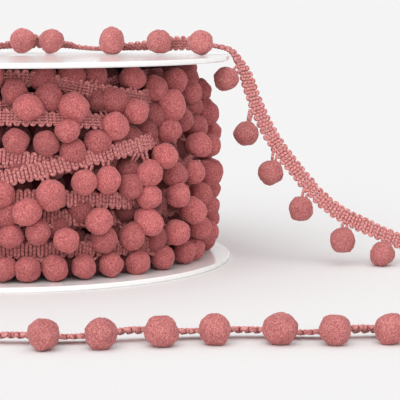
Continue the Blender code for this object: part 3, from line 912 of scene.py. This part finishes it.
last = len(TURNS) - 1
for k in range(len(TURNS)):
    mean = radius_of[turn_of == k].mean()
    count = int(round(2 * math.pi * mean / PITCH))
    first = dice.uniform(0, 360.0 / count)
    for angle in first + np.arange(count) * 360.0 / count:
        around = angle % 360.0
        if around < FRONT_END or (k == last and LAST_ANGLE - 8 < around < SEAM):
            continue
        wound = (around - SEAM) % 360.0 + SEAM - 360.0 + 360.0 * k
        at = np.interp(wound, winding, np.arange(len(winding)))
        i = int(np.clip(at, 0, len(winding) - 1))
        high = height[i] + side_of[i] * TO_MIDDLE + dice.normal(0, 1.3)
        high = float(np.clip(high, WOUND_LOW, WOUND_HIGH))
        lift = -abs(dice.normal(0, 2.6))
        out = outline(high) - KEEP_IN + lift
        spots.append((around, high, out, dice.uniform(0.95, 1.07), 0.0))
print("pompoms of the outer turns", len(spots))

# %% A bare stretch is filled from the turns below
for high in np.arange(8.0, 78.0, 3.5):
    for around in np.arange(66.0, 352.0, 3.5):
        # mm inside the others, and mm to the nearest one that leave it bare
        deeper, bare = (2.5, 12.2) if around > 100.0 else (4.2, 10.6)
        out = float(outline(high)) - KEEP_IN - deeper
        known = np.array([spot[:3] for spot in spots])
        apart = np.hypot(np.radians(known[:, 0] - around) * out, known[:, 1] - high)
        if apart.min() > bare:
            spots.append((around, high, out, dice.uniform(0.95, 1.04), 0.0))
spots = np.array(spots)
print("pompoms in the outer layer", len(spots))


# %% Pushed apart until each has room
def on_the_roll(rows):
    """Places in mm of rows of (angle, height, distance out)."""
    around = np.radians(rows[:, 0])
    return np.column_stack([rows[:, 2] * np.sin(around), -rows[:, 2] * np.cos(around), rows[:, 1]])


def distances(place):
    """Distance of each two places, with a great one from each to itself."""
    return np.linalg.norm(place[:, None] - place[None], axis=2) + np.eye(len(place)) * 99


def push_apart(rows, rounds=90, room=9.5, low=6.8, high=78.8, deepest=7.0):
    """Moves the free pompoms until each has about `room` mm, from `low` to
    `high` and no more than `deepest` inside the others, all in mm."""
    place = on_the_roll(rows)
    free = 1.0 - rows[:, 4]
    need = room * (rows[:, 3][:, None] + rows[:, 3][None]) / 2
    share = free[:, None] / np.maximum(free[:, None] + free[None], 1e-9)
    for _ in range(rounds):
        gap = place[:, None] - place[None]
        far = distances(place)
        push = np.maximum(need - far, 0.0) / far
        place += (gap * (push * share)[:, :, None]).sum(1) * 0.6 * free[:, None]
        place[:, 2] = np.where(free > 0, np.clip(place[:, 2], low, high), place[:, 2])
        out = np.hypot(place[:, 0], place[:, 1])
        most = outline(place[:, 2]) - KEEP_IN
        new = np.where(free > 0, np.clip(out, most - deepest, most), out)
        place[:, :2] *= (new / out)[:, None]
    return place


places = push_apart(spots)
print("nearest two middles", round(distances(places).min(), 2), "mm")

# %% Inner pompoms, seen only in the gaps
INNER_DEPTH = 15.5  # how far inside the outline they sit, mm
INNER_PITCH = 12.4  # and how far apart, mm

inner = []
for level, high in enumerate(np.linspace(8.0, 77.6, 8)):
    out = outline(high) - INNER_DEPTH
    count = int(2 * math.pi * out / INNER_PITCH)
    for angle in (np.arange(count) + 0.5 * (level % 2)) * 360.0 / count:
        inner.append(np.array((angle, high, out)) + dice.normal(0, (1.2, 0.8, 0.9)))
inner_places = on_the_roll(np.array(inner))
print("inner pompoms", len(inner_places))

# %% Wound pompoms as pieces, and their ties
SHADE_INSIDE = 0.34  # little light gets in to the inner ones
LONGEST_TIE = 11.0  # mm; one farther off hangs from a turn further in
rng_roll = np.random.default_rng(33)
edges_of_turns = (wound_points + wound_side * (BRAID_WIDE / 2 + 0.2 * MM)) / MM


def nearest_edge(middle, usual=6.0):
    """The point of a braid's pompom edge that a pompom is tied to: about the
    `usual` tie away, in mm, and with the pompom on the edge's own side."""
    off = np.linalg.norm(edges_of_turns - middle, axis=1)
    sits = ((middle - edges_of_turns) * wound_side).sum(1)
    score = np.abs(off - usual) + np.maximum(0.0, -sits) * 2.0
    i = int(np.argmin(score))
    return i, edges_of_turns[i], off[i]


rows_front, rows_back, wound_ties = [], [], []
for (angle, _, _, size, _), middle in zip(spots, places):
    i, edge, off = nearest_edge(middle)
    hang = middle - edge if off > 1.0 else wound_side[i]
    inside = outline(middle[2]) - KEEP_IN - math.hypot(middle[0], middle[1])
    radius = POMPOM / 2 * size * rng_roll.uniform(0.97, 1.03)
    in_front = -20 < (angle + 180) % 360 - 180 < 150
    detail = 4 if inside < (4.5 if in_front else 2.5) else 3
    hang = hang + rng_roll.normal(0, 3.5, 3)
    stretch = rng_roll.uniform(0.92, 1.26)
    # the deeper it sits, the less light gets to it
    painted_lightness = min(1.08, max(0.5, 1.08 - 0.08 * inside))
    row = (middle * MM, radius, hang, stretch, detail, painted_lightness)
    (rows_front if in_front else rows_back).append(row)
    if off < LONGEST_TIE:
        along = unit(np.cross(wound_side[i], outwards[i]))
        wound_ties += tie_pair(edge * MM, along, middle * MM, radius)
rows_inner = [(middle * MM, POMPOM / 2 * rng_roll.uniform(0.95, 1.05), (0, 0, 1), 1.05, 3, 1.0)
              for middle in inner_places]
for name, rows, shade in (("wound_pompoms_front", rows_front, 1.0),
                          ("wound_pompoms_back", rows_back, 1.0),
                          ("wound_pompoms_inner", rows_inner, SHADE_INSIDE)):
    piece(name, balls_mesh(name, rows, rng_roll, shade), wound_yarn)
tie_mesh = as_one("wound_pompom_ties", cords_to_mesh("ties", wound_ties, 0))
piece("wound_pompom_ties", tie_mesh, wound_cord)

# %% [markdown]
# ### The packed middle
# Under the outer turns lie many more, pressed together. Nothing of them can
# be told apart, so they are one ring, spun round the reel's axis. It is of
# the pompoms' yarn with its colours painted dark as shade, because it lies in their shadow.

# %% Packed middle
RING_INSIDE = 60.0  # the radius of its hole, mm
RING_DEPTH = 18.0  # how far inside the outline it lies, mm
bm = bmesh.new()
outer = [(z, float(outline(z)) - RING_DEPTH) for z in np.linspace(2.6, 83.0, 12)]
profile = [bm.verts.new((0.0, -r * MM, z * MM)) for z, r in
           [(2.6, RING_INSIDE), *outer, (83.0, RING_INSIDE)]]
edges = [bm.edges.new(pair) for pair in zip(profile, profile[1:] + profile[:1])]
bmesh.ops.spin(bm, geom=profile + edges, cent=(0, 0, 0), axis=(0, 0, 1), angle=2 * math.pi,
               steps=96, use_merge=True, use_duplicate=False)
bmesh.ops.remove_doubles(bm, verts=bm.verts[:], dist=1e-6)
bmesh.ops.recalc_face_normals(bm, faces=bm.faces[:])
if bm.calc_volume(signed=True) < 0:  # a spun ring can come out inside out
    bmesh.ops.reverse_faces(bm, faces=bm.faces[:])
print("packed middle", round(bm.calc_volume(signed=True) * 1e6), "cubic centimetres")
core_mesh = mesh_of(bm, "packed_middle")
# the packed middle's dark colours are painted shade
packed_yarn = pompom_yarn(
    "packed_acrylic_yarn_painted_shade", "#552428", "#74383B", "#4E2125", "#61292D"
)
keep_shade(core_mesh, np.full(len(core_mesh.vertices), 1.0))
piece("wound_packed_middle", core_mesh, packed_yarn)

# %% [markdown]
# ## The reel
# The reel is moulded in white polystyrene: stiff, cheap and glossy, so its
# flanges mirror the pompoms that lie on them. The gloss is not perfect. Flow
# lines from the mould and fine scratches from handling break it up a little.

# %% White polystyrene
polystyrene, tree, shader = new_material(
    "moulded_white_polystyrene", Roughness=0.16, IOR=1.55, Specular_IOR_Level=0.5
)
place = node(tree, "ShaderNodeTexCoord").outputs["Object"]
flow = node(tree, "ShaderNodeTexNoise",
            {"Vector": place, "Scale": 22.0, "Detail": 2.0}).outputs[0]
scuffs = node(tree, "ShaderNodeTexNoise",
              {"Vector": place, "Scale": 420.0, "Detail": 4.0, "Roughness": 0.7}).outputs[0]
tint = node(tree, "ShaderNodeValToRGB", {"Fac": flow},
            ((0.3, "#F7F7F6"), (0.7, "#FCFCFB")))
tree.links.new(tint.outputs["Color"], shader.inputs["Base Color"])
rough = node(tree, "ShaderNodeMapRange",
             {"Value": scuffs, "From Min": 0.3, "From Max": 0.7,
              "To Min": 0.10, "To Max": 0.22})
tree.links.new(rough.outputs["Result"], shader.inputs["Roughness"])
waves = node(tree, "ShaderNodeBump",
             {"Height": flow, "Strength": 0.06, "Distance": 1.0 * MM})
tree.links.new(waves.outputs["Normal"], shader.inputs["Normal"])
for name in ("flange_bottom", "flange_top", "reel_hub"):
    reel_part = bpy.data.objects[name]
    for slot in reel_part.material_slots:
        slot.material = polystyrene
print("reel parts carry", polystyrene.name)

# %% [markdown]
# ## Table and studio light
# A pale table runs back out of view, and two large soft boxes and a bright
# room light it, so that the shadows stay thin and soft. It is covered with
# matt paper, whose grain is too fine to see and only keeps the white even.
# The room is brightest low down, as if a white backdrop hung behind the
# table, so the rims of the reel are seen against white and mirror it.

# %% Table
TABLE_HALF = 600.0  # metres, so that its far edge is at the horizon
bm = bmesh.new()
bmesh.ops.create_grid(bm, x_segments=1, y_segments=1, size=TABLE_HALF)
table = put("studio_table", mesh_of(bm, "studio_table"))
paper, tree, shader = new_material("matt_white_paper", Roughness=0.8, Specular_IOR_Level=0.12)
place = node(tree, "ShaderNodeTexCoord").outputs["Object"]
grain = node(tree, "ShaderNodeTexNoise",
             {"Vector": place, "Scale": 900.0, "Detail": 3.0}).outputs[0]
tint = node(tree, "ShaderNodeValToRGB", {"Fac": grain},
            ((0.3, "#EBEAEA"), (0.7, "#EFEEEE")))
tree.links.new(tint.outputs["Color"], shader.inputs["Base Color"])
table.data.materials.append(paper)

# %% Soft boxes and room light
room = bpy.data.worlds.new("bright_room")
room.use_nodes = True
tree = room.node_tree
backdrop = tree.nodes["Background"]
backdrop.inputs["Strength"].default_value = 1.0
way = node(tree, "ShaderNodeTexCoord").outputs["Generated"]
rise = node(tree, "ShaderNodeSeparateXYZ", {"Vector": way})
glow = node(tree, "ShaderNodeValToRGB", {"Fac": rise.outputs["Z"]},
            ((0.16, "#F2F2F2"), (0.34, "#ADADAD")))
tree.links.new(glow.outputs["Color"], backdrop.inputs["Color"])
bpy.context.scene.world = room


def overhead(name, tilt, spread, strength):
    """A very large soft box, as a sun with a wide soft edge, turned by `tilt`."""
    data = bpy.data.lights.new(name, "SUN")
    data.energy, data.angle = strength, math.radians(spread)
    put(name, data).rotation_euler = tuple(math.radians(t) for t in tilt)


overhead("overhead_soft_box", (8.0, -3.0, 0.0), 110.0, 1.08)
overhead("front_soft_box", (50.0, 0.0, -12.0), 75.0, 1.51)

# %% Measure and finish
total = sum(len(o.data.polygons) for o in bpy.data.objects if o.type == "MESH")
print("faces in all", total)
